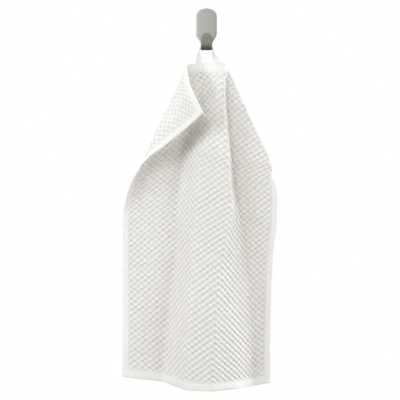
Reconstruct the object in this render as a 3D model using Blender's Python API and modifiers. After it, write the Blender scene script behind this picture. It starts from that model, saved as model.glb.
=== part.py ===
"""Hand towel hung by its loop from a bent steel wall hook, for Blender 4.5.

Metres, +Z up. The wall is the plane y = 0 and everything hangs in front of it, at -Y. The origin is the
middle of the hook's back plate, on the wall. Three pieces: the towel's cloth, the tape loop sewn behind
the middle of its top hem, and the hook.
"""
import math

import bmesh
import bpy
import numpy as np

# ------------------------------------------------------------------ driving dimensions
CM = 0.01
SEAT_GAP = 0.0003
SEWN_GAP = 0.0005

TOWEL_WIDTH = 0.40
TOWEL_LENGTH = 0.70
CLOTH_THICKNESS = 0.003
ROWS_DOWN = 50

HOOK_STEEL = 0.0018
PLATE_TOP = 0.0335
PLATE_HALF_WIDTH = 0.0227
PLATE_CAP_HEIGHT = 0.0176
PLATE_SIDES_END = -0.022
NECK_START = -0.046
NECK_HALF_WIDTH = 0.0124
BEND_RADIUS = 0.0084
BEND_BOTTOM = -0.0591
TONGUE_HALF_WIDTH = 0.0116
TONGUE_RISE = 0.0262
TONGUE_LEAN = math.radians(8)
STEEL_EDGE_ROUND = 0.0005
STEEL_COLUMNS = 8
ROUND_END_SWEEP = math.radians(83)
ROUND_END_STEPS = 6
NECK_STEPS = 8
BEND_STEPS = 14

TAPE_WIDTH = 0.015
TAPE_THICKNESS = 0.001
TAPE_MIDDLE_ACROSS = 0.2055
TAPE_SPREAD = 0.0201
TAPE_SEWN_DEPTH = 0.015
TAPE_DROP = 0.03
TAPE_FREE_SHARE = 0.72
TAPE_JOINING_SHARE = 0.28
TAPE_COLUMNS = 4
TAPE_ROWS = 50

# ------------------------------------------------------------------ how the towel hangs
# The folds that every section of the cloth crosses, from its left edge to its right edge. The top left
# corner has fallen forward over the left roll, and the top right corner back behind the right roll.
FOLDS = ("left edge", "flap middle", "left roll", "roll foot", "left valley",
         "front ridge", "crest", "shoulder", "right valley", "right roll", "right edge")
COLUMNS_BETWEEN_FOLDS = (4, 6, 3, 5, 5, 4, 2, 3, 6, 7)
# How far, in centimetres, the cloth takes to turn at each fold: at its stiff top hem, and from SOFT_FROM
# down.
HEM_SOFTNESS = (1.0, 2.0, 0.9, 0.5, 0.4, 0.9, 0.5, 0.3, 0.5, 0.6, 1.0)
FOLD_SOFTNESS = (1.0, 2.0, 1.1, 1.6, 1.6, 1.8, 1.0, 0.8, 1.2, 0.7, 1.0)
SOFT_FROM = 0.09
# One row for each section: how far down the cloth it lies, then (x, distance off the wall, height) where
# it meets each fold, in centimetres and in the order of FOLDS.
SECTIONS = (
    (0.0, ((-0.8, 12.4, -21.0), (-3.6, 9.0, -14.7), (-4.3, 3.4, -9.7), (-3.3, 2.4, -9.2),
            (-0.5, 1.2, -8.95), (1.8, 1.5, -9.0), (3.9, 1.7, -9.0), (4.2, 1.6, -9.05),
            (4.5, 1.5, -9.1), (4.7, 0.8, -9.3), (-3.7, 0.5, -21.3))),
    (6.5, ((-4.2, 9.8, -23.9), (-6.0, 8.3, -19.9), (-7.4, 4.8, -17.0), (-6.5, 3.2, -16.5),
            (-0.8, 0.8, -15.4), (1.9, 3.3, -15.5), (3.85, 3.7, -15.8), (3.8, 2.4, -15.85),
            (4.3, 1.1, -15.9), (7.6, 1.2, -16.3), (1.5, 0.5, -24.9))),
    (13.0, ((-8.3, 8.0, -27.0), (-9.7, 7.2, -25.5), (-10.7, 5.9, -24.0), (-9.9, 3.8, -23.3),
            (-2.8, 0.8, -21.9), (0.8, 4.4, -22.0), (4.25, 5.0, -22.6), (4.2, 3.2, -22.65),
            (4.85, 1.3, -22.75), (10.95, 1.3, -23.5), (6.8, 0.5, -28.8))),
    (19.5, ((-13.5, 6.4, -31.0), (-13.65, 5.8, -30.9), (-13.6, 5.0, -30.7), (-12.5, 2.9, -30.0),
            (-4.9, 0.9, -28.7), (-1.4, 5.7, -28.8), (4.75, 6.2, -29.7), (4.75, 4.0, -29.75),
            (5.5, 1.6, -29.85), (14.3, 1.3, -31.1), (12.9, 0.5, -32.3))),
    (24.0, ((-15.9, 5.4, -34.7), (-15.6, 4.8, -34.5), (-15.1, 4.1, -34.3), (-13.4, 2.6, -33.7),
            (-5.3, 1.1, -32.9), (-1.9, 6.3, -33.3), (4.9, 6.8, -34.3), (5.0, 4.5, -34.35),
            (5.9, 1.9, -34.4), (14.4, 1.5, -35.1), (15.1, 1.2, -35.4))),
    (30.0, ((-17.7, 3.2, -39.8), (-17.2, 3.0, -39.7), (-16.2, 2.6, -39.5), (-13.8, 2.2, -39.1),
            (-6.2, 1.4, -38.7), (-2.2, 6.5, -39.3), (5.3, 7.0, -40.2), (5.7, 5.0, -40.25),
            (6.9, 2.4, -40.3), (14.5, 1.5, -40.7), (15.5, 1.4, -40.8))),
    (42.0, ((-18.2, 2.6, -50.8), (-17.3, 2.6, -50.7), (-16.0, 2.6, -50.6), (-13.0, 2.4, -50.5),
            (-6.6, 2.1, -50.5), (-3.0, 7.3, -51.0), (3.2, 7.9, -51.7), (5.7, 5.5, -51.75),
            (8.7, 2.6, -51.8), (13.4, 1.6, -52.0), (14.5, 1.5, -52.0))),
    (56.0, ((-18.1, 3.5, -63.8), (-17.2, 3.5, -63.8), (-16.0, 3.5, -63.9), (-13.0, 3.3, -64.0),
            (-8.2, 3.0, -64.1), (-3.8, 10.2, -64.7), (1.7, 10.5, -65.4), (5.9, 6.6, -65.6),
            (10.0, 2.6, -65.8), (12.9, 1.7, -65.7), (14.0, 1.7, -65.6))),
    (70.0, ((-18.1, 4.7, -76.8), (-17.2, 4.6, -77.0), (-16.0, 4.5, -77.2), (-13.0, 4.3, -77.6),
            (-9.4, 4.2, -78.0), (-4.3, 11.1, -78.2), (1.1, 11.2, -78.4), (6.2, 7.4, -78.8),
            (10.2, 2.2, -79.4), (12.6, 2.0, -79.0), (13.9, 1.8, -78.8))),
)
SOFTENING_STEPS = np.linspace(-1.0, 1.0, 13)
POINTS_ALONG_SECTION = 400


def clear_scene():
    for item in list(bpy.data.objects):
        bpy.data.objects.remove(item, do_unlink=True)


def plain_material(name, colour, roughness, metallic=0.0):
    material = bpy.data.materials.new(name)
    material.use_nodes = True
    shader = material.node_tree.nodes["Principled BSDF"]
    shader.inputs["Base Color"].default_value = (*colour, 1.0)
    shader.inputs["Roughness"].default_value = roughness
    shader.inputs["Metallic"].default_value = metallic
    return material


def place(name, mesh, material, collection):
    item = bpy.data.objects.new(name, mesh)
    mesh.materials.append(material)
    collection.objects.link(item)
    return item


def thicken(item, thickness):
    """Give an open sheet its thickness, half to each side."""
    shell = item.modifiers.new("thickness", "SOLIDIFY")
    shell.thickness = thickness
    shell.offset = 0.0
    shell.use_even_offset = True


def shaped_sheet(name, columns, rows, place_point):
    """A grid whose every point, at (column, row) from 0 to 1, is moved to place_point(column, row)."""
    mesh = bpy.data.meshes.new(name)
    sheet = bmesh.new()
    bmesh.ops.create_grid(sheet, x_segments=columns, y_segments=rows, size=0.5)
    for vertex in sheet.verts:
        vertex.co = place_point(vertex.co.x + 0.5, 0.5 - vertex.co.y)
    sheet.to_mesh(mesh)
    sheet.free()
    mesh.shade_smooth()
    return mesh


# ------------------------------------------------------------------ the towel
def smooth_between(levels, values, level):
    """The value at a level, on a smooth curve through the values at the given levels."""
    steps = np.diff(levels)
    slopes = np.diff(values, axis=0) / steps[:, None, None]
    before, after = steps[:-1, None, None], steps[1:, None, None]
    inner = (after * slopes[:-1] + before * slopes[1:]) / (before + after)
    tangents = np.concatenate([slopes[:1], inner, slopes[-1:]])
    span = int(np.clip(np.searchsorted(levels, level) - 1, 0, len(steps) - 1))
    t = (level - levels[span]) / steps[span]
    leaving = (t**3 - 2 * t**2 + t) * steps[span] * tangents[span]
    arriving = (t**3 - t**2) * steps[span] * tangents[span + 1]
    share = 3 * t**2 - 2 * t**3
    return (1 - share) * values[span] + leaving + share * values[span + 1] + arriving


def section_corners(down):
    """Where the section at that distance down the cloth meets each fold, in metres."""
    levels = np.array([row[0] for row in SECTIONS])
    corners = np.array([row[1] for row in SECTIONS])
    x, off_wall, height = smooth_between(levels, corners, down / CM).T * CM
    return np.stack([x, -off_wall, height], axis=1)


def chord_lengths(points):
    return np.concatenate([[0.0], np.cumsum(np.linalg.norm(np.diff(points, axis=0), axis=1))])


def soften(corners, along, down):
    """Points on the section, at the given distances along its corners, with each fold rounded off."""
    reached = chord_lengths(corners)
    margin = max(FOLD_SOFTNESS) * CM
    first = corners[0] + (corners[0] - corners[1]) / reached[1] * margin
    last = corners[-1] + (corners[-1] - corners[-2]) / (reached[-1] - reached[-2]) * margin
    stations = np.concatenate([[-margin], reached, [reached[-1] + margin]])
    outline = np.vstack([first, corners, last])
    below_hem = min(down / SOFT_FROM, 1.0)
    turns = np.array(HEM_SOFTNESS) * (1 - below_hem) + np.array(FOLD_SOFTNESS) * below_hem
    softness = np.interp(along, reached, turns) * CM
    weights = 1.0 + np.cos(math.pi * SOFTENING_STEPS)
    points = np.zeros((len(along), 3))
    for step, weight in zip(SOFTENING_STEPS, weights / weights.sum()):
        for axis in range(3):
            points[:, axis] += weight * np.interp(along + step * softness, stations, outline[:, axis])
    return points


def cloth_point(across, down):
    """Where a point of the flat towel hangs: across from its left edge and down from its top hem."""
    corners = section_corners(down)
    points = soften(corners, np.linspace(0.0, chord_lengths(corners)[-1], POINTS_ALONG_SECTION), down)
    lengths = chord_lengths(points)
    return np.array([np.interp(across / TOWEL_WIDTH * lengths[-1], lengths, axis) for axis in points.T])


def cloth_normal(across, down, step=0.004):
    """The direction that the towel's front faces at that point."""
    side = cloth_point(across + step, down) - cloth_point(across - step, down)
    fall = cloth_point(across, down + step) - cloth_point(across, down)
    normal = np.cross(fall, side)
    return normal / np.linalg.norm(normal)


def make_towel(collection):
    """The cloth, its mesh lines following the folds, closer together beside each fold than between."""
    shares = [fold + (1 - math.cos(math.pi * step / count)) / 2
              for fold, count in enumerate(COLUMNS_BETWEEN_FOLDS) for step in range(count)]
    shares.append(len(COLUMNS_BETWEEN_FOLDS))
    sections = []
    for row in range(ROWS_DOWN + 1):
        down = TOWEL_LENGTH * row / ROWS_DOWN
        corners = section_corners(down)
        along = np.interp(shares, range(len(FOLDS)), chord_lengths(corners))
        sections.append(soften(corners, along, down))

    def hang(column, row):
        return sections[round(row * ROWS_DOWN)][round(column * (len(shares) - 1))]

    mesh = shaped_sheet("towel", len(shares) - 1, ROWS_DOWN, hang)
    towel = place("towel", mesh, plain_material("cotton", (0.80, 0.79, 0.77), 0.95), collection)
    thicken(towel, CLOTH_THICKNESS)


# ------------------------------------------------------------------ the wall hook
def rounded_end(half_width, rise):
    """The round end of a flat strip, from its full width to a short blunt tip: (half width, rise)."""
    angles = [ROUND_END_SWEEP * step / ROUND_END_STEPS for step in range(ROUND_END_STEPS + 1)]
    return [(half_width * math.cos(angle), rise * math.sin(angle)) for angle in angles]


def hook_stations():
    """Down the strip, round its bend and up its tongue: (half width, distance off the wall, height)."""
    off_wall = HOOK_STEEL / 2
    cap_foot = PLATE_TOP - PLATE_CAP_HEIGHT
    stations = [(half_width, off_wall, cap_foot + rise)
                for half_width, rise in reversed(rounded_end(PLATE_HALF_WIDTH, PLATE_CAP_HEIGHT))]
    for step in range(NECK_STEPS + 1):
        share = step / NECK_STEPS
        flare = (1 + math.cos(math.pi * share)) / 2
        half_width = NECK_HALF_WIDTH + (PLATE_HALF_WIDTH - NECK_HALF_WIDTH) * flare
        stations.append((half_width, off_wall, PLATE_SIDES_END + (NECK_START - PLATE_SIDES_END) * share))
    bend_height = BEND_BOTTOM + BEND_RADIUS
    for step in range(BEND_STEPS + 1):
        share = step / BEND_STEPS
        angle = (math.pi - TONGUE_LEAN) * share
        half_width = NECK_HALF_WIDTH + (TONGUE_HALF_WIDTH - NECK_HALF_WIDTH) * share
        stations.append((half_width, off_wall + BEND_RADIUS * (1 - math.cos(angle)),
                         bend_height - BEND_RADIUS * math.sin(angle)))
    foot_off_wall, foot_height = stations[-1][1:]
    straight = TONGUE_RISE - TONGUE_HALF_WIDTH
    for half_width, rise in rounded_end(TONGUE_HALF_WIDTH, TONGUE_HALF_WIDTH):
        stations.append((half_width, foot_off_wall + (straight + rise) * math.sin(TONGUE_LEAN),
                         foot_height + (straight + rise) * math.cos(TONGUE_LEAN)))
    return stations


def make_hook(collection):
    stations = hook_stations()

    def bend(column, row):
        half_width, off_wall, height = stations[round(row * (len(stations) - 1))]
        return (2 * column - 1) * half_width, -off_wall, height

    mesh = shaped_sheet("wall_hook", STEEL_COLUMNS, len(stations) - 1, bend)
    steel = plain_material("satin_steel", (0.42, 0.42, 0.40), 0.35, 0.9)
    hook = place("wall_hook", mesh, steel, collection)
    thicken(hook, HOOK_STEEL)
    edges = hook.modifiers.new("rounded edges", "BEVEL")
    edges.width = STEEL_EDGE_ROUND
    edges.segments = 2
    edges.limit_method = "ANGLE"
    edges.angle_limit = math.radians(50)


# ------------------------------------------------------------------ the tape loop
# Half of the loop, from the middle of the hook's bend to the hem: how far out from the middle, how far
# below the seat in the bend, how much the tape has turned from lying across the bend to lying along the
# hem, and how much it is still cupped to the bend. Centimetres and shares.
TAPE_COURSE = (
    (0.00, 0.00, 0.00, 1.00),
    (0.90, 0.00, 0.00, 1.00),
    (1.28, 0.00, 0.00, 1.00),
    (1.46, 0.24, 0.02, 0.90),
    (1.50, 0.80, 0.10, 0.55),
    (1.64, 1.55, 0.40, 0.20),
    (1.82, 2.30, 0.80, 0.05),
)
LEAST_CUP = 0.01


def course_at(share):
    """The tape's course at a share of the way from the bend to the hem, on a smooth curve."""
    rows = np.array(TAPE_COURSE)
    knots = chord_lengths(rows[:, :2])
    return smooth_between(knots / knots[-1], rows[:, None, :], share)[0]


def sewn_tape(side, offset, down):
    """A point of the tape where it lies flat on the back of the hem."""
    across = TAPE_MIDDLE_ACROSS + side * TAPE_SPREAD - offset
    behind = CLOTH_THICKNESS / 2 + SEWN_GAP + TAPE_THICKNESS / 2
    return cloth_point(across, down) - cloth_normal(across, down) * behind


def tape_point(column, row):
    """A point of the tape: column across it, row along it from its left end to its right end."""
    side = -1.0 if row < 0.5 else 1.0
    share = abs(2 * row - 1)
    offset = (column - 0.5) * TAPE_WIDTH
    if share >= TAPE_FREE_SHARE:
        down = (share - TAPE_FREE_SHARE) / (1 - TAPE_FREE_SHARE) * TAPE_SEWN_DEPTH
        return sewn_tape(side, offset, down)
    off_seat = HOOK_STEEL / 2 + SEAT_GAP + TAPE_THICKNESS / 2
    cup_radius = BEND_RADIUS - off_seat
    out, below, turned, cupped = course_at(share / TAPE_FREE_SHARE)
    cupped = max(cupped, LEAST_CUP)
    curl = offset / cup_radius * cupped
    reach = math.sin(curl) * cup_radius / cupped
    lift = (1 - math.cos(curl)) * cup_radius / cupped
    turn = turned * math.pi / 2
    free = np.array([side * out * CM - math.sin(turn) * reach,
                     -HOOK_STEEL / 2 - BEND_RADIUS + side * math.cos(turn) * reach,
                     BEND_BOTTOM + off_seat - below * CM + lift])
    left_over = 1 - share / TAPE_FREE_SHARE
    joined = max(1 - left_over / TAPE_JOINING_SHARE, 0.0)
    joined = joined * joined * (3 - 2 * joined)
    above_hem = sewn_tape(side, offset, 0.0) + (0.0, 0.0, left_over * TAPE_DROP)
    return free * (1 - joined) + above_hem * joined


def make_loop(collection):
    mesh = shaped_sheet("hanging_loop", TAPE_COLUMNS, TAPE_ROWS, tape_point)
    loop = place("hanging_loop", mesh, plain_material("white_tape", (0.86, 0.86, 0.85), 0.8), collection)
    thicken(loop, TAPE_THICKNESS)


clear_scene()
parts = bpy.data.collections.new("hand_towel_on_wall_hook")
bpy.context.scene.collection.children.link(parts)
make_towel(parts)
make_hook(parts)
make_loop(parts)
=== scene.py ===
import math

import bmesh
import bpy
import numpy as np
from mathutils import Matrix, Vector, noise


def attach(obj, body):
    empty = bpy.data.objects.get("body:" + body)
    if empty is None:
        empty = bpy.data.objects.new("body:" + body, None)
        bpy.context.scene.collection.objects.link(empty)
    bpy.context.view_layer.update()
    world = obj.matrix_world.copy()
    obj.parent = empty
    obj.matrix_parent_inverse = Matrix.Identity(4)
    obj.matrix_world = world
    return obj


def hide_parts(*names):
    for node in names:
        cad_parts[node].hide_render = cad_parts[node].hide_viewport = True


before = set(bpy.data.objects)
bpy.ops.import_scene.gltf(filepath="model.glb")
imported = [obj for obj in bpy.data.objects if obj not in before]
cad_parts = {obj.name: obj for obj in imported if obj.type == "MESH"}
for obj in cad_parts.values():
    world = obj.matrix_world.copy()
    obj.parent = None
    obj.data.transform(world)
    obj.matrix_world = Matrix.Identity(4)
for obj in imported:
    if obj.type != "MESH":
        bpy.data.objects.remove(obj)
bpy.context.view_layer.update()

# ------------------------------------------------------------------ the wall hook
# One strip of 1.8 mm satin steel: a round-topped plate that is stuck to the wall, a narrower neck, and a
# tongue bent up in front of it. The plate's rim is pressed back a little, and the brushing runs down it.
# Shade is painted into the steel's colour: a little on the tongue, and most, near black, where the strip
# turns under.
HOOK_STEEL = 0.0018
PLATE_TOP = 0.0335
PLATE_HALF_WIDTH = 0.0227
PLATE_CAP_HEIGHT = 0.0176
PLATE_SIDES_END = -0.022
NECK_START = -0.046
NECK_HALF_WIDTH = 0.0124
BEND_RADIUS = 0.0084
BEND_BOTTOM = -0.0591
TONGUE_HALF_WIDTH = 0.0116
TONGUE_RISE = 0.0278
TONGUE_LEAN = math.radians(8)
ROUND_END_SWEEP = math.radians(86)
ROUND_END_STEPS = 18
PLATE_SIDE_STEPS = 16
NECK_STEPS = 16
BEND_STEPS = 26
TONGUE_SIDE_STEPS = 6
STEEL_COLUMNS = 28
RIM_WIDTH = 0.0042
RIM_DEPTH = 0.00012
STEEL_COLOUR = (0.52, 0.52, 0.495)
STEEL_DARK = (0.43, 0.43, 0.41)
BEND_PAINTED_SHADE_COLOUR = (0.05, 0.05, 0.035)
TONGUE_PAINTED_SHADE = 0.22
UNDERSIDE_PAINTED_SHADE = 0.9
UNDERSIDE_REACH = 1.6
UNDERSIDE_FADE = 2.2
TONGUE_FADE_STEPS = 2.0
EDGE_ROUNDING = 0.0005


def make_sheet(name, points, flat, **marks):
    """A grid of faces through points[row, column]. Its flat place, in metres, is its UV map, and each mark
    is a number at every point, for its material."""
    rows, columns = points.shape[0] - 1, points.shape[1] - 1
    sheet = bmesh.new()
    bmesh.ops.create_grid(sheet, x_segments=columns, y_segments=rows, size=0.5)
    uv = sheet.loops.layers.uv.new("flat")
    layers = {mark: sheet.verts.layers.float.new(mark) for mark in marks}
    cells = [(round((0.5 - vertex.co.y) * rows), round((vertex.co.x + 0.5) * columns))
             for vertex in sheet.verts]
    sheet.verts.index_update()
    for vertex, cell in zip(sheet.verts, cells):
        vertex.co = points[cell]
        for mark, layer in layers.items():
            vertex[layer] = marks[mark][cell]
    for face in sheet.faces:
        face.smooth = True
        for loop in face.loops:
            loop[uv].uv = flat[cells[loop.vert.index]]
    mesh = bpy.data.meshes.new(name)
    sheet.to_mesh(mesh)
    sheet.free()
    piece = bpy.data.objects.new(name, mesh)
    bpy.context.scene.collection.objects.link(piece)
    return piece


def thicken(piece, thickness):
    shell = piece.modifiers.new("thickness", "SOLIDIFY")
    shell.thickness = thickness
    shell.offset = 0.0
    return shell


def rounded_end(half_width, rise):
    """The round end of a flat strip, from its full width to a short blunt tip: (half width, rise)."""
    angles = [ROUND_END_SWEEP * step / ROUND_END_STEPS for step in range(ROUND_END_STEPS + 1)]
    return [(half_width * math.cos(angle), rise * math.sin(angle)) for angle in angles]


def hook_stations():
    """Down the strip, round its bend and up its tongue: (half width, distance off the wall, height)."""
    off_wall = HOOK_STEEL / 2
    cap_foot = PLATE_TOP - PLATE_CAP_HEIGHT
    stations = [(half_width, off_wall, cap_foot + rise)
                for half_width, rise in reversed(rounded_end(PLATE_HALF_WIDTH, PLATE_CAP_HEIGHT))]
    for step in range(1, PLATE_SIDE_STEPS):
        height = cap_foot + (PLATE_SIDES_END - cap_foot) * step / PLATE_SIDE_STEPS
        stations.append((PLATE_HALF_WIDTH, off_wall, height))
    for step in range(NECK_STEPS + 1):
        share = step / NECK_STEPS
        flare = (1 + math.cos(math.pi * share)) / 2
        half_width = NECK_HALF_WIDTH + (PLATE_HALF_WIDTH - NECK_HALF_WIDTH) * flare
        stations.append((half_width, off_wall, PLATE_SIDES_END + (NECK_START - PLATE_SIDES_END) * share))
    bend_height = BEND_BOTTOM + BEND_RADIUS
    for step in range(BEND_STEPS + 1):
        share = step / BEND_STEPS
        angle = (math.pi - TONGUE_LEAN) * share
        half_width = NECK_HALF_WIDTH + (TONGUE_HALF_WIDTH - NECK_HALF_WIDTH) * share
        stations.append((half_width, off_wall + BEND_RADIUS * (1 - math.cos(angle)),
                         bend_height - BEND_RADIUS * math.sin(angle)))
    foot_off_wall, foot_height = stations[-1][1:]
    straight = TONGUE_RISE - TONGUE_HALF_WIDTH
    sides = [(TONGUE_HALF_WIDTH, -straight + straight * step / TONGUE_SIDE_STEPS)
             for step in range(1, TONGUE_SIDE_STEPS)]
    for half_width, rise in sides + rounded_end(TONGUE_HALF_WIDTH, TONGUE_HALF_WIDTH):
        stations.append((half_width, foot_off_wall + (straight + rise) * math.sin(TONGUE_LEAN),
                         foot_height + (straight + rise) * math.cos(TONGUE_LEAN)))
    return np.array(stations)


stations = hook_stations()
half_widths, off_walls, heights = stations.T
strip_down = np.concatenate([[0.0], np.cumsum(np.hypot(np.diff(off_walls), np.diff(heights)))])
across_strip = np.sin(np.linspace(-1.0, 1.0, STEEL_COLUMNS + 1) * math.pi / 2)
strip_x = half_widths[:, None] * across_strip
strip_flat = np.stack([strip_x, np.broadcast_to(strip_down[:, None], strip_x.shape)], axis=-1)
rim = np.vstack([strip_flat[:, 0], strip_flat[:, -1], strip_flat[0]])
to_rim = np.linalg.norm(strip_flat[:, :, None] - rim, axis=-1).min(axis=2)
bend_starts = ROUND_END_STEPS + 1 + PLATE_SIDE_STEPS - 1 + NECK_STEPS + 1
on_plate = np.clip((heights - NECK_START) / (PLATE_SIDES_END - NECK_START), 0.0, 1.0)[:, None]
press = np.clip(to_rim / RIM_WIDTH, 0.0, 1.0)
press = press * press * (3 - 2 * press) * on_plate * RIM_DEPTH
strip_heights = np.broadcast_to(heights[:, None], strip_x.shape)
hook_points = np.stack([strip_x, -off_walls[:, None] - press, strip_heights], axis=-1)
# painted shade: how far the steel's colour goes towards near black, most where the strip turns under and a
# little up the tongue
past_bend_start = (np.arange(len(heights)) - bend_starts) / BEND_STEPS
turned_under = np.clip(UNDERSIDE_REACH - UNDERSIDE_FADE * np.abs(past_bend_start - 0.5), 0.0, 1.0)
on_tongue = np.clip((past_bend_start - 1.0) * BEND_STEPS / TONGUE_FADE_STEPS, 0.0, 1.0) * TONGUE_PAINTED_SHADE
painted_shade_down = np.maximum(turned_under * UNDERSIDE_PAINTED_SHADE, on_tongue)
bend_shade = np.broadcast_to(painted_shade_down[:, None], strip_x.shape)
hook = make_sheet("hook_strip", hook_points, strip_flat, bend_shade=bend_shade)
thicken(hook, HOOK_STEEL)
edge = hook.modifiers.new("rounded edges", "BEVEL")
edge.width = EDGE_ROUNDING
edge.segments = 3
edge.limit_method = "ANGLE"
edge.angle_limit = math.radians(50)


def new_material(name):
    material = bpy.data.materials.new(name)
    material.use_nodes = True
    return material, material.node_tree.nodes, material.node_tree.links


def satin_steel():
    """Steel brushed lengthwise: long fine scratches in its bump and sheen, and a faint cloudiness."""
    material, nodes, links = new_material("satin_steel")
    shader = nodes["Principled BSDF"]
    shader.inputs["Metallic"].default_value = 1.0
    flat = nodes.new("ShaderNodeUVMap")
    flat.uv_map = "flat"
    stretch = nodes.new("ShaderNodeMapping")
    stretch.inputs["Scale"].default_value = (9000.0, 260.0, 1.0)
    links.new(flat.outputs["UV"], stretch.inputs["Vector"])
    brushing = nodes.new("ShaderNodeTexNoise")
    brushing.inputs["Scale"].default_value = 1.0
    brushing.inputs["Detail"].default_value = 4.0
    links.new(stretch.outputs["Vector"], brushing.inputs["Vector"])
    colour = nodes.new("ShaderNodeMix")
    colour.data_type = "RGBA"
    colour.inputs["A"].default_value = (*STEEL_DARK, 1.0)
    colour.inputs["B"].default_value = (*STEEL_COLOUR, 1.0)
    links.new(brushing.outputs["Fac"], colour.inputs["Factor"])
    # painted shade: the brushed colour is mixed towards near black under the bend and a little on the tongue
    shaded = nodes.new("ShaderNodeMix")
    shaded.data_type = "RGBA"
    shaded.inputs["B"].default_value = (*BEND_PAINTED_SHADE_COLOUR, 1.0)
    bend = nodes.new("ShaderNodeAttribute")
    bend.attribute_name = "bend_shade"
    links.new(bend.outputs["Fac"], shaded.inputs["Factor"])
    links.new(colour.outputs["Result"], shaded.inputs["A"])
    links.new(shaded.outputs["Result"], shader.inputs["Base Color"])
    roughness = nodes.new("ShaderNodeMapRange")
    roughness.inputs["To Min"].default_value = 0.34
    roughness.inputs["To Max"].default_value = 0.5
    links.new(brushing.outputs["Fac"], roughness.inputs["Value"])
    links.new(roughness.outputs["Result"], shader.inputs["Roughness"])
    bump = nodes.new("ShaderNodeBump")
    bump.inputs["Strength"].default_value = 0.25
    bump.inputs["Distance"].default_value = 0.0001
    links.new(brushing.outputs["Fac"], bump.inputs["Height"])
    links.new(bump.outputs["Normal"], shader.inputs["Normal"])
    return material


hook.data.materials.append(satin_steel())
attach(hook, "root")
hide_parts("wall_hook")

# ------------------------------------------------------------------ the towel
# One 40 x 70 cm cut of white cotton in a honeycomb weave, with plain woven selvages down its sides and a
# turned hem at each end. Its top left corner has fallen forward and its top right corner back.
CM = 0.01
TOWEL_WIDTH = 0.40
TOWEL_LENGTH = 0.70
SELVAGE = 0.0113
HEM = 0.0185
CELLS_ACROSS = 23
CELLS_DOWN = 50
STEPS_IN_CELL = 6
CELL_RELIEF = 0.0011
FIELD_THICKNESS = 0.0018
HEM_THICKNESS = 0.0030
SELVAGE_THICKNESS = 0.0018
EDGE_THICKNESS = 0.0010
BUBBLE_WHITE = (0.955, 0.95, 0.94)
# the pits' colour is painted shade: darker and warmer than the cotton, for the light that the hollows of the
# weave lose
PIT_PAINTED_SHADE = (0.83, 0.812, 0.772)
HEM_WHITE = (0.96, 0.955, 0.94)
BUBBLE_BUMP = 0.0019
LOOSENESS = 0.9
RIB_SLANT = 0.15
OPEN_SLANT = 0.2
OPEN_FROM = 0.17
OPEN_FACING = 0.2
OPEN_DEPTH = 0.7
OPEN_EDGE = 0.06
PAST_RIDGE_FADE = 0.02
LEFT_DEPTH = 0.72
BUBBLE_WANDER = 0.25
BUBBLE_WANDER_SIZE = 0.008
LINE_WANDER = 0.35
LINE_WANDER_SIZE = 0.02
CLOTH_UNEVENNESS = 0.0008
CLOTH_UNEVENNESS_SIZE = 0.05
WEAVE_FADE = 0.0022
STITCH_LINE = 0.0165
STITCH_SINK = 0.45
STITCH_SINK_WIDTH = 0.0009
EDGE_LINES = (0.0, 0.0006, 0.0035, 0.0075, 0.0105)
HEM_LINES = (0.0, 0.0006, 0.0050, 0.0100, 0.0150, 0.0165, 0.0178)
# The folds that every section of the cloth crosses, from its left edge to its right edge, and how far, in
# centimetres, the cloth takes to turn at each, at the stiff top hem and from 9 cm down.
FOLDS = ("left edge", "flap middle", "left roll", "roll foot", "left valley",
         "front ridge", "crest", "shoulder", "right valley", "right roll", "right edge")
HEM_SOFTNESS = (1.0, 2.0, 0.9, 0.5, 0.4, 0.9, 0.5, 0.3, 0.5, 0.6, 1.0)
FOLD_SOFTNESS = (1.0, 2.0, 1.1, 1.6, 1.6, 1.8, 1.0, 0.8, 1.2, 0.7, 1.0)
SOFT_FROM = 9.0
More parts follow.
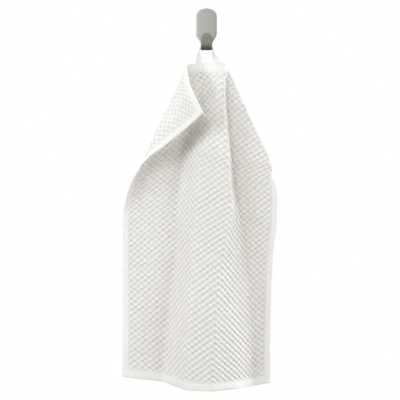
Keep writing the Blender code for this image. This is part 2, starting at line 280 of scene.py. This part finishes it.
# One row for each section: how far down the cloth it lies, then (x, distance off the wall, height) where
# it meets each fold, in centimetres and in the order of FOLDS.
SECTIONS = (
    (0.0, ((-0.8, 12.4, -21.0), (-3.6, 9.0, -14.7), (-4.3, 3.4, -9.7), (-3.3, 2.4, -9.2),
            (-0.5, 1.2, -8.95), (1.8, 1.5, -9.0), (3.9, 1.7, -9.0), (4.2, 1.6, -9.05),
            (4.5, 1.5, -9.1), (4.7, 0.8, -9.3), (-3.7, 0.5, -21.3))),
    (6.5, ((-4.2, 9.8, -23.9), (-6.0, 8.3, -19.9), (-7.4, 4.8, -17.0), (-6.5, 3.2, -16.5),
            (-0.8, 0.8, -15.4), (1.9, 3.3, -15.5), (3.85, 3.7, -15.8), (3.8, 2.4, -15.85),
            (4.3, 1.1, -15.9), (7.6, 1.2, -16.3), (1.5, 0.5, -24.9))),
    (13.0, ((-8.3, 8.0, -27.0), (-9.7, 7.2, -25.5), (-10.7, 5.9, -24.0), (-9.9, 3.8, -23.3),
            (-2.8, 0.8, -21.9), (0.8, 4.4, -22.0), (4.25, 5.0, -22.6), (4.2, 3.2, -22.65),
            (4.85, 1.3, -22.75), (10.95, 1.3, -23.5), (6.8, 0.5, -28.8))),
    (19.5, ((-13.5, 6.4, -31.0), (-13.65, 5.8, -30.9), (-13.6, 5.0, -30.7), (-12.5, 2.9, -30.0),
            (-4.9, 0.9, -28.7), (-1.4, 5.7, -28.8), (4.75, 6.2, -29.7), (4.75, 4.0, -29.75),
            (5.5, 1.6, -29.85), (14.3, 1.3, -31.1), (12.9, 0.5, -32.3))),
    (24.0, ((-15.9, 5.4, -34.7), (-15.6, 4.8, -34.5), (-15.1, 4.1, -34.3), (-13.4, 2.6, -33.7),
            (-5.3, 1.1, -32.9), (-1.9, 6.3, -33.3), (4.9, 6.8, -34.3), (5.0, 4.5, -34.35),
            (5.9, 1.9, -34.4), (14.4, 1.5, -35.1), (15.1, 1.2, -35.4))),
    (30.0, ((-17.7, 3.2, -39.8), (-17.2, 3.0, -39.7), (-16.2, 2.6, -39.5), (-13.8, 2.2, -39.1),
            (-6.2, 1.4, -38.7), (-2.2, 6.5, -39.3), (5.3, 7.0, -40.2), (5.7, 5.0, -40.25),
            (6.9, 2.4, -40.3), (14.5, 1.5, -40.7), (15.5, 1.4, -40.8))),
    (42.0, ((-18.2, 2.6, -50.8), (-17.3, 2.6, -50.7), (-16.0, 2.6, -50.6), (-13.0, 2.4, -50.5),
            (-6.6, 2.1, -50.5), (-3.0, 7.3, -51.0), (3.2, 7.9, -51.7), (5.7, 5.5, -51.75),
            (8.7, 2.6, -51.8), (13.4, 1.6, -52.0), (14.5, 1.5, -52.0))),
    (56.0, ((-18.1, 3.5, -63.8), (-17.2, 3.5, -63.8), (-16.0, 3.5, -63.9), (-13.0, 3.3, -64.0),
            (-8.2, 3.0, -64.1), (-3.8, 10.2, -64.7), (1.7, 10.5, -65.4), (5.9, 6.6, -65.6),
            (10.0, 2.6, -65.8), (12.9, 1.7, -65.7), (14.0, 1.7, -65.6))),
    (70.0, ((-18.1, 4.7, -76.8), (-17.2, 4.6, -77.0), (-16.0, 4.5, -77.2), (-13.0, 4.3, -77.6),
            (-9.4, 4.2, -78.0), (-4.3, 11.1, -78.2), (1.1, 11.2, -78.4), (6.2, 7.4, -78.8),
            (10.2, 2.2, -79.4), (12.6, 2.0, -79.0), (13.9, 1.8, -78.8))),
)
SOFTENING_STEPS = np.linspace(-1.0, 1.0, 13)
POINTS_ALONG_SECTION = 600


def smooth_between(levels, values, level):
    """The value at a level, on a smooth curve through the values at the given levels."""
    steps = np.diff(levels)
    slopes = np.diff(values, axis=0) / steps[:, None, None]
    before, after = steps[:-1, None, None], steps[1:, None, None]
    inner = (after * slopes[:-1] + before * slopes[1:]) / (before + after)
    tangents = np.concatenate([slopes[:1], inner, slopes[-1:]])
    span = int(np.clip(np.searchsorted(levels, level) - 1, 0, len(steps) - 1))
    t = (level - levels[span]) / steps[span]
    return ((2 * t**3 - 3 * t**2 + 1) * values[span] + (t**3 - 2 * t**2 + t) * steps[span] * tangents[span]
            + (3 * t**2 - 2 * t**3) * values[span + 1] + (t**3 - t**2) * steps[span] * tangents[span + 1])


def chord_lengths(points):
    return np.concatenate([[0.0], np.cumsum(np.linalg.norm(np.diff(points, axis=0), axis=1))])


def softened_section(down):
    """The section at that distance down the cloth, with each fold rounded off, as points in metres."""
    levels = np.array([row[0] for row in SECTIONS])
    x, off_wall, height = smooth_between(levels, np.array([row[1] for row in SECTIONS]), down / CM).T * CM
    corners = np.stack([x, -off_wall, height], axis=1)
    reached = chord_lengths(corners)
    along = np.linspace(0.0, reached[-1], POINTS_ALONG_SECTION)
    margin = max(FOLD_SOFTNESS) * CM
    first = corners[0] + (corners[0] - corners[1]) / reached[1] * margin
    last = corners[-1] + (corners[-1] - corners[-2]) / (reached[-1] - reached[-2]) * margin
    stations = np.concatenate([[-margin], reached, [reached[-1] + margin]])
    outline = np.vstack([first, corners, last])
    share = min(down / CM / SOFT_FROM, 1.0)
    softness = np.array(HEM_SOFTNESS) * (1 - share) + np.array(FOLD_SOFTNESS) * share
    softness = np.interp(along, reached, softness) * CM
    weights = 1.0 + np.cos(math.pi * SOFTENING_STEPS)
    points = np.zeros((len(along), 3))
    for step, weight in zip(SOFTENING_STEPS, weights / weights.sum()):
        for axis in range(3):
            points[:, axis] += weight * np.interp(along + step * softness, stations, outline[:, axis])
    return points


def hang(across, down):
    """Where points of the flat towel hang, across from its left edge, at one distance down from its top."""
    points = softened_section(down)
    lengths = chord_lengths(points)
    along = np.asarray(across) / TOWEL_WIDTH * lengths[-1]
    return np.stack([np.interp(along, lengths, axis) for axis in points.T], axis=-1)


def facing(points):
    """The direction that the cloth's front faces at each point of a grid."""
    normals = np.cross(np.gradient(points, axis=0), np.gradient(points, axis=1))
    return normals / np.linalg.norm(normals, axis=-1, keepdims=True)


def mesh_lines(size, border_lines, border, cells):
    """Where the mesh's lines lie on the flat cloth: the border's own, and STEPS_IN_CELL to a weave cell."""
    field = np.linspace(border, size - border, cells * STEPS_IN_CELL + 1)
    return np.concatenate([border_lines, field, size - np.array(border_lines[::-1])])


across_lines = mesh_lines(TOWEL_WIDTH, EDGE_LINES, SELVAGE, CELLS_ACROSS)
down_lines = mesh_lines(TOWEL_LENGTH, HEM_LINES, HEM, CELLS_DOWN)
across, down = np.meshgrid(across_lines, down_lines)
smooth_towel = np.stack([hang(across_lines, level) for level in down_lines])
front = facing(smooth_towel)

cell_width = (TOWEL_WIDTH - 2 * SELVAGE) / CELLS_ACROSS
cell_height = (TOWEL_LENGTH - 2 * HEM) / CELLS_DOWN
in_from_side = np.minimum(across, TOWEL_WIDTH - across) - SELVAGE
in_from_end = np.minimum(down, TOWEL_LENGTH - down) - HEM
weave_starts = np.clip(np.minimum(in_from_side, in_from_end) / WEAVE_FADE, 0.0, 1.0)


def wander(scale, seed):
    """A smooth wandering between -1 and 1 over the cloth, as large as its scale in metres."""
    flat = np.stack([across, down], axis=-1).reshape(-1, 2)
    values = [noise.noise(Vector((x / scale, y / scale, seed))) for x, y in flat]
    return np.array(values).reshape(across.shape)


turn_across = 2 * math.pi * (across - SELVAGE) / cell_width + LINE_WANDER * wander(LINE_WANDER_SIZE, 1.0)
turn_down = 2 * math.pi * (down - HEM) / cell_height + LINE_WANDER * wander(LINE_WANDER_SIZE, 2.0)
# the bubbles join into ribs: faint ones that rise to the right, and deeper ones that fall to the right
# where the cloth faces right, on the front fold and beyond it
past_ridge = np.clip((across - OPEN_FROM) / PAST_RIDGE_FADE, 0.0, 1.0)
faces_right_past_ridge = (1 + np.tanh((front[..., 0] - OPEN_FACING) / OPEN_EDGE)) / 2 * past_ridge
slant = RIB_SLANT * (past_ridge - faces_right_past_ridge) - OPEN_SLANT * faces_right_past_ridge
relief = ((1 + slant) * np.cos(turn_across + turn_down)
          + (1 - slant) * np.cos(turn_across - turn_down)) / 2 * weave_starts
fullness = ((1.0 + BUBBLE_WANDER * wander(BUBBLE_WANDER_SIZE, 3.0)) * (1 + OPEN_DEPTH * faces_right_past_ridge)
            * (LEFT_DEPTH + (1 - LEFT_DEPTH) * past_ridge))
from_end = np.minimum(down, TOWEL_LENGTH - down)
hem_sink = np.exp(-((from_end - STITCH_LINE) / STITCH_SINK_WIDTH) ** 2)
lift = CELL_RELIEF * relief * fullness + CLOTH_UNEVENNESS * wander(CLOTH_UNEVENNESS_SIZE, 4.0)
towel_points = smooth_towel + front * lift[..., None]

thickness = np.where(weave_starts > 0, FIELD_THICKNESS, SELVAGE_THICKNESS)
thickness = np.where(from_end < HEM, HEM_THICKNESS * (1 - STITCH_SINK * hem_sink), thickness)
at_edge = np.minimum(np.minimum(across, TOWEL_WIDTH - across), np.minimum(down, TOWEL_LENGTH - down)) < 0.0003
thickness = np.where(at_edge, EDGE_THICKNESS, thickness)

# the weave mark fades the bubbles out at the hems and selvages and deepens their painted shade where the
# cloth faces right; the slant mark lays that painted shade along the ribs
towel = make_sheet("honeycomb_towel", towel_points, np.stack([across, down], axis=-1),
                   turn_across=turn_across, turn_down=turn_down, slant=slant,
                   weave=weave_starts * (0.7 + 0.3 * faces_right_past_ridge))
body = towel.vertex_groups.new(name="thickness")
# a create_grid mesh counts its points row by row from the bottom left corner
order = thickness[::-1].reshape(-1)
for index, amount in enumerate(order):
    body.add([index], amount / HEM_THICKNESS, "REPLACE")
shell = thicken(towel, HEM_THICKNESS)
shell.vertex_group = "thickness"


def woven_yarns():
    """A node group: the over and under of single yarns on a flat map, with their fuzz."""
    group = bpy.data.node_groups.new("woven yarns", "ShaderNodeTree")
    group.interface.new_socket("Flat", in_out="INPUT", socket_type="NodeSocketVector")
    group.interface.new_socket("Yarns per metre", in_out="INPUT", socket_type="NodeSocketFloat")
    group.interface.new_socket("Height", in_out="OUTPUT", socket_type="NodeSocketFloat")
    nodes, links = group.nodes, group.links
    inlet, outlet = nodes.new("NodeGroupInput"), nodes.new("NodeGroupOutput")
    counted = nodes.new("ShaderNodeVectorMath")
    counted.operation = "SCALE"
    links.new(inlet.outputs["Flat"], counted.inputs[0])
    links.new(inlet.outputs["Yarns per metre"], counted.inputs["Scale"])
    split = nodes.new("ShaderNodeSeparateXYZ")
    links.new(counted.outputs["Vector"], split.inputs["Vector"])
    waves = []
    for axis in ("X", "Y"):
        turn = nodes.new("ShaderNodeMath")
        turn.operation = "MULTIPLY"
        turn.inputs[1].default_value = math.pi
        links.new(split.outputs[axis], turn.inputs[0])
        wave = nodes.new("ShaderNodeMath")
        wave.operation = "SINE"
        links.new(turn.outputs["Value"], wave.inputs[0])
        waves.append(wave)
    crossing = nodes.new("ShaderNodeMath")
    crossing.operation = "MULTIPLY"
    links.new(waves[0].outputs["Value"], crossing.inputs[0])
    links.new(waves[1].outputs["Value"], crossing.inputs[1])
    fuzz = nodes.new("ShaderNodeTexNoise")
    fuzz.inputs["Scale"].default_value = 1.7
    fuzz.inputs["Detail"].default_value = 3.0
    links.new(counted.outputs["Vector"], fuzz.inputs["Vector"])
    together = nodes.new("ShaderNodeMath")
    together.operation = "ADD"
    links.new(crossing.outputs["Value"], together.inputs[0])
    links.new(fuzz.outputs["Fac"], together.inputs[1])
    links.new(together.outputs["Value"], outlet.inputs["Height"])
    return group


yarns = woven_yarns()


def cotton(name, crest, pit_painted_shade, yarns_per_metre, yarn_depth):
    """White cotton with its yarns in the bump and painted shade where they dip. Returns the nodes that its
    makers add to.
    """
    material, nodes, links = new_material(name)
    shader = nodes["Principled BSDF"]
    shader.inputs["Roughness"].default_value = 0.95
    shader.inputs["Specular IOR Level"].default_value = 0.2
    shader.inputs["Sheen Weight"].default_value = 0.1
    shader.inputs["Sheen Roughness"].default_value = 0.5
    flat = nodes.new("ShaderNodeUVMap")
    flat.uv_map = "flat"
    weave = nodes.new("ShaderNodeGroup")
    weave.node_tree = yarns
    weave.inputs["Yarns per metre"].default_value = yarns_per_metre
    links.new(flat.outputs["UV"], weave.inputs["Flat"])
    # painted shade: the colour goes from the pit colour where the yarns dip to the crest colour on top of
    # them
    colour = nodes.new("ShaderNodeMix")
    colour.data_type = "RGBA"
    colour.inputs["A"].default_value = (*pit_painted_shade, 1.0)
    colour.inputs["B"].default_value = (*crest, 1.0)
    links.new(weave.outputs["Height"], colour.inputs["Factor"])
    links.new(colour.outputs["Result"], shader.inputs["Base Color"])
    bump = nodes.new("ShaderNodeBump")
    bump.inputs["Strength"].default_value = 0.6
    bump.inputs["Distance"].default_value = yarn_depth
    links.new(weave.outputs["Height"], bump.inputs["Height"])
    links.new(bump.outputs["Normal"], shader.inputs["Normal"])
    return material, colour, bump


def mark_on_mesh(nodes, mark):
    attribute = nodes.new("ShaderNodeAttribute")
    attribute.attribute_name = mark
    return attribute.outputs["Fac"]


def calculate(nodes, links, operation, first, second):
    step = nodes.new("ShaderNodeMath")
    step.operation = operation
    for socket, value in zip(step.inputs, (first, second)):
        if isinstance(value, float):
            socket.default_value = value
        else:
            links.new(value, socket)
    return step.outputs["Value"]


def honeycomb_cotton():
    """The bubbles of the weave, drawn finer than the mesh: full rounds, narrow pits with painted shade, and
    loose yarn.
    """
    material, colour, yarn_bump = cotton("honeycomb_cotton", BUBBLE_WHITE, PIT_PAINTED_SHADE, 1100.0, 0.0002)
    nodes, links = material.node_tree.nodes, material.node_tree.links
    marks = [mark_on_mesh(nodes, mark) for mark in ("turn_across", "turn_down", "slant", "weave")]
    turn_across, turn_down, slant, weave = marks
    ribs = []
    for joined, leaning in (("ADD", 1.0), ("SUBTRACT", -1.0)):
        turn = calculate(nodes, links, joined, turn_across, turn_down)
        share = calculate(nodes, links, "MULTIPLY_ADD", slant, leaning)
        nodes[share.node.name].inputs[2].default_value = 1.0
        ribs.append(calculate(nodes, links, "MULTIPLY", share, calculate(nodes, links, "COSINE", turn, 0.0)))
    checks = calculate(nodes, links, "ADD", *ribs)
    bubbles = calculate(nodes, links, "MULTIPLY", checks, weave)
    full = nodes.new("ShaderNodeMapRange")
    full.interpolation_type = "SMOOTHERSTEP"
    full.inputs["From Min"].default_value = -1.5
    full.inputs["From Max"].default_value = 1.2
    links.new(bubbles, full.inputs["Value"])
    # painted shade: the pits between the bubbles take the darker pit colour, along the slanted ribs and
    # deeper where the cloth faces right
    links.new(full.outputs["Result"], colour.inputs["Factor"])
    hem_or_field = nodes.new("ShaderNodeMix")
    hem_or_field.data_type = "RGBA"
    hem_or_field.inputs["A"].default_value = (*HEM_WHITE, 1.0)
    links.new(calculate(nodes, links, "MINIMUM", calculate(nodes, links, "MULTIPLY", weave, 1.4), 1.0),
              hem_or_field.inputs["Factor"])
    links.new(colour.outputs["Result"], hem_or_field.inputs["B"])
    links.new(hem_or_field.outputs["Result"], nodes["Principled BSDF"].inputs["Base Color"])
    flat = nodes.new("ShaderNodeUVMap")
    flat.uv_map = "flat"
    loose = nodes.new("ShaderNodeTexNoise")
    loose.inputs["Scale"].default_value = 420.0
    loose.inputs["Detail"].default_value = 2.0
    links.new(flat.outputs["UV"], loose.inputs["Vector"])
    rough = calculate(nodes, links, "MULTIPLY", loose.outputs["Fac"], LOOSENESS)
    height = calculate(nodes, links, "ADD", full.outputs["Result"], rough)
    bump = nodes.new("ShaderNodeBump")
    bump.inputs["Strength"].default_value = 1.0
    bump.inputs["Distance"].default_value = BUBBLE_BUMP
    links.new(height, bump.inputs["Height"])
    links.new(bump.outputs["Normal"], yarn_bump.inputs["Normal"])
    return material


towel.data.materials.append(honeycomb_cotton())
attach(towel, "root")
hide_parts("towel")

# ------------------------------------------------------------------ the hem stitches
# White thread that holds both turned hems: one row of 3.5 mm stitches along each, sunk into the cloth and
# showing on both of its faces.
STITCH_PITCH = 0.0035
STITCH_LENGTH = 0.0026
THREAD = 0.0006

stitches = bmesh.new()
stitch_across = np.arange(0.004, TOWEL_WIDTH - 0.004, STITCH_PITCH)
for level in (STITCH_LINE, TOWEL_LENGTH - STITCH_LINE):
    rows_near = np.stack([hang(stitch_across, level + shift) for shift in (-0.001, 0.0, 0.001)])
    outward = facing(rows_near)[1]
    runs = np.gradient(rows_near[1], axis=0)
    for place, normal, run in zip(rows_near[1], outward, runs):
        along = Vector(run).normalized()
        up = Vector(normal)
        side = up.cross(along)
        turned = Matrix((along, side, up)).transposed().to_4x4()
        for face_side in (1, -1):
            spot = Vector(place) + up * face_side * HEM_THICKNESS * 0.3
            size = Matrix.Diagonal((STITCH_LENGTH / 2, THREAD / 2, THREAD / 2, 1.0))
            bmesh.ops.create_icosphere(stitches, subdivisions=1, radius=1.0,
                                       matrix=Matrix.Translation(spot) @ turned @ size)
for face in stitches.faces:
    face.smooth = True
stitch_mesh = bpy.data.meshes.new("hem_stitches")
stitches.to_mesh(stitch_mesh)
stitches.free()
hem_stitches = bpy.data.objects.new("hem_stitches", stitch_mesh)
bpy.context.scene.collection.objects.link(hem_stitches)


def thread_white():
    material, nodes, links = new_material("sewing_thread")
    shader = nodes["Principled BSDF"]
    shader.inputs["Roughness"].default_value = 0.7
    place = nodes.new("ShaderNodeTexCoord")
    tone = nodes.new("ShaderNodeTexNoise")
    tone.inputs["Scale"].default_value = 900.0
    links.new(place.outputs["Object"], tone.inputs["Vector"])
    colour = nodes.new("ShaderNodeMix")
    colour.data_type = "RGBA"
    colour.inputs["A"].default_value = (0.72, 0.71, 0.69, 1.0)
    colour.inputs["B"].default_value = (0.86, 0.855, 0.84, 1.0)
    links.new(tone.outputs["Fac"], colour.inputs["Factor"])
    links.new(colour.outputs["Result"], shader.inputs["Base Color"])
    return material


hem_stitches.data.materials.append(thread_white())
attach(hem_stitches, "root")

# ------------------------------------------------------------------ the tape loop
# A 15 mm white cotton tape sewn by both ends behind the top hem. It lies cupped in the hook's bend, drops
# out of both sides of it and turns flat to the hem.
TAPE_WIDTH = 0.015
TAPE_THICKNESS = 0.001
TAPE_MIDDLE_ACROSS = 0.2055
TAPE_SPREAD = 0.0201
TAPE_SEWN_DEPTH = 0.015
TAPE_DROP = 0.03
TAPE_FREE_SHARE = 0.72
TAPE_JOINING_SHARE = 0.28
TAPE_COLUMNS = 14
TAPE_ROWS = 180
SEAT_GAP = 0.0003
SEWN_GAP = 0.0005
LEAST_CUP = 0.01
# Half of the loop, from the middle of the hook's bend to the hem: how far out from the middle, how far
# below the seat in the bend, how much the tape has turned from lying across the bend to lying along the
# hem, and how much it is still cupped to the bend. Centimetres and shares.
TAPE_COURSE = (
    (0.00, 0.00, 0.00, 1.00),
    (0.90, 0.00, 0.00, 1.00),
    (1.28, 0.00, 0.00, 1.00),
    (1.46, 0.24, 0.02, 0.90),
    (1.50, 0.80, 0.10, 0.55),
    (1.64, 1.55, 0.40, 0.20),
    (1.82, 2.30, 0.80, 0.05),
)


def course_at(share):
    """The tape's course at a share of the way from the bend to the hem, on a smooth curve."""
    course = np.array(TAPE_COURSE)
    knots = chord_lengths(course[:, :2])
    return smooth_between(knots / knots[-1], course[:, None, :], share)[0]


def sewn_tape(side, offsets, level):
    """A row of the tape where it lies flat on the back of the hem."""
    places = TAPE_MIDDLE_ACROSS + side * TAPE_SPREAD - offsets
    rows_near = np.stack([hang(places, level + shift) for shift in (-0.001, 0.0, 0.001)])
    outward = -facing(rows_near)[1]
    return rows_near[1] - outward * (HEM_THICKNESS / 2 + SEWN_GAP + TAPE_THICKNESS / 2)


def tape_row(row):
    """A row of points across the tape, the row running from 0 at its left end to 1 at its right end."""
    side = -1.0 if row < 0.5 else 1.0
    share = abs(2 * row - 1)
    offsets = (np.linspace(0.0, 1.0, TAPE_COLUMNS + 1) - 0.5) * TAPE_WIDTH
    if share >= TAPE_FREE_SHARE:
        level = (share - TAPE_FREE_SHARE) / (1 - TAPE_FREE_SHARE) * TAPE_SEWN_DEPTH
        return sewn_tape(side, offsets, level)
    off_seat = HOOK_STEEL / 2 + SEAT_GAP + TAPE_THICKNESS / 2
    cup_radius = BEND_RADIUS - off_seat
    out, below, turned, cupped = course_at(share / TAPE_FREE_SHARE)
    cupped = max(cupped, LEAST_CUP)
    curl = offsets / cup_radius * cupped
    reach = np.sin(curl) * cup_radius / cupped
    lift = (1 - np.cos(curl)) * cup_radius / cupped
    turn = turned * math.pi / 2
    free = np.stack([side * out * CM - math.sin(turn) * reach,
                     -HOOK_STEEL / 2 - BEND_RADIUS + side * math.cos(turn) * reach,
                     BEND_BOTTOM + off_seat - below * CM + lift], axis=-1)
    left_over = 1 - share / TAPE_FREE_SHARE
    joined = max(1 - left_over / TAPE_JOINING_SHARE, 0.0)
    joined = joined * joined * (3 - 2 * joined)
    above_hem = sewn_tape(side, offsets, 0.0) + (0.0, 0.0, left_over * TAPE_DROP)
    return free * (1 - joined) + above_hem * joined


tape_points = np.stack([tape_row(row) for row in np.linspace(0.0, 1.0, TAPE_ROWS + 1)])
tape_down = chord_lengths(tape_points[:, TAPE_COLUMNS // 2])
tape_flat = np.stack(np.meshgrid(np.linspace(0.0, TAPE_WIDTH, TAPE_COLUMNS + 1), tape_down), axis=-1)
loop = make_sheet("tape_loop", tape_points, tape_flat)
thicken(loop, TAPE_THICKNESS)
# the tape's second colour is painted shade where its yarns dip
loop.data.materials.append(cotton("white_tape", (0.88, 0.88, 0.875), (0.8, 0.8, 0.79), 1500.0, 0.0001)[0])
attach(loop, "root")
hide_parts("hanging_loop")

# ------------------------------------------------------------------ the studio
# A weak warm surround, a pale floor well below the towel, seven soft square lights and the camera at the
# height of the towel's middle, as far off as the photograph shows it. The strongest lights graze the
# cloth from its sides and draw its weave.
FLOOR_HEIGHT = -1.45
CAMERA_PLACE = (-0.0143, -1.70, -0.389)
FOCAL_LENGTH_PX = 770.0
IMAGE_PX = 400.0
SENSOR = 36.0
LIGHT_SIZE = 0.9
LIGHT_DISTANCE = 2.0
LIGHT_AIM = (0.0, 0.0, -0.4)
# Each light: how far round from the front to the right and how far up it stands, in degrees, and watts.
STUDIO_LIGHTS = (
    ("right_rear_light", 106, 10, 36.0),
    ("left_front_light", -50, 10, 17.0),
    ("left_top_light", -105, 60, 13.0),
    ("right_front_light", 50, 10, 14.5),
    ("front_top_light", -28, 60, 9.0),
    ("front_light", -20, 22, 10.0),
    ("rear_light", 165, 50, 9.0),
)
LIGHT_COLOUR = (0.93, 0.96, 1.0)
FILL_COLOUR = (1.0, 0.72, 0.24)
FILL_STRENGTH = 0.13

floor_mesh = bpy.data.meshes.new("floor")
plane = bmesh.new()
bmesh.ops.create_grid(plane, x_segments=1, y_segments=1, size=2.0,
                      matrix=Matrix.Translation((0.0, 0.0, FLOOR_HEIGHT)))
plane.to_mesh(floor_mesh)
plane.free()
floor = bpy.data.objects.new("floor", floor_mesh)
bpy.context.scene.collection.objects.link(floor)
pale, pale_nodes = new_material("pale_floor")[:2]
pale_nodes["Principled BSDF"].inputs["Base Color"].default_value = (0.82, 0.82, 0.82, 1.0)
pale_nodes["Principled BSDF"].inputs["Roughness"].default_value = 0.9
floor.data.materials.append(pale)

for name, around, up, power in STUDIO_LIGHTS:
    light = bpy.data.objects.new(name, bpy.data.lights.new(name, "AREA"))
    light.data.energy = power
    light.data.size = LIGHT_SIZE
    light.data.color = LIGHT_COLOUR
    turn, rise = math.radians(around), math.radians(up)
    direction = Vector((math.sin(turn) * math.cos(rise), -math.cos(turn) * math.cos(rise), math.sin(rise)))
    light.location = Vector(LIGHT_AIM) + direction * LIGHT_DISTANCE
    light.rotation_euler = direction.to_track_quat("Z", "Y").to_euler()
    light.visible_camera = False
    bpy.context.scene.collection.objects.link(light)

world = bpy.data.worlds.new("white_surround")
world.use_nodes = True
bpy.context.scene.world = world
world_nodes, world_links = world.node_tree.nodes, world.node_tree.links
lit = world_nodes["Background"]
lit.inputs["Color"].default_value = (*FILL_COLOUR, 1.0)
lit.inputs["Strength"].default_value = FILL_STRENGTH
seen = world_nodes.new("ShaderNodeBackground")
seen.inputs["Color"].default_value = (1.0, 1.0, 1.0, 1.0)
seen.inputs["Strength"].default_value = 1.0
which = world_nodes.new("ShaderNodeMixShader")
path = world_nodes.new("ShaderNodeLightPath")
world_links.new(path.outputs["Is Camera Ray"], which.inputs["Fac"])
world_links.new(lit.outputs["Background"], which.inputs[1])
world_links.new(seen.outputs["Background"], which.inputs[2])
world_links.new(which.outputs["Shader"], world_nodes["World Output"].inputs["Surface"])

camera = bpy.data.objects.new("camera", bpy.data.cameras.new("camera"))
camera.data.sensor_width = SENSOR
camera.data.lens = FOCAL_LENGTH_PX / IMAGE_PX * SENSOR
camera.data.clip_start = 0.01
camera.location = CAMERA_PLACE
camera.rotation_euler = (math.radians(90), 0.0, 0.0)
bpy.context.scene.collection.objects.link(camera)
bpy.context.scene.camera = camera
bpy.context.scene.view_settings.view_transform = "Standard"
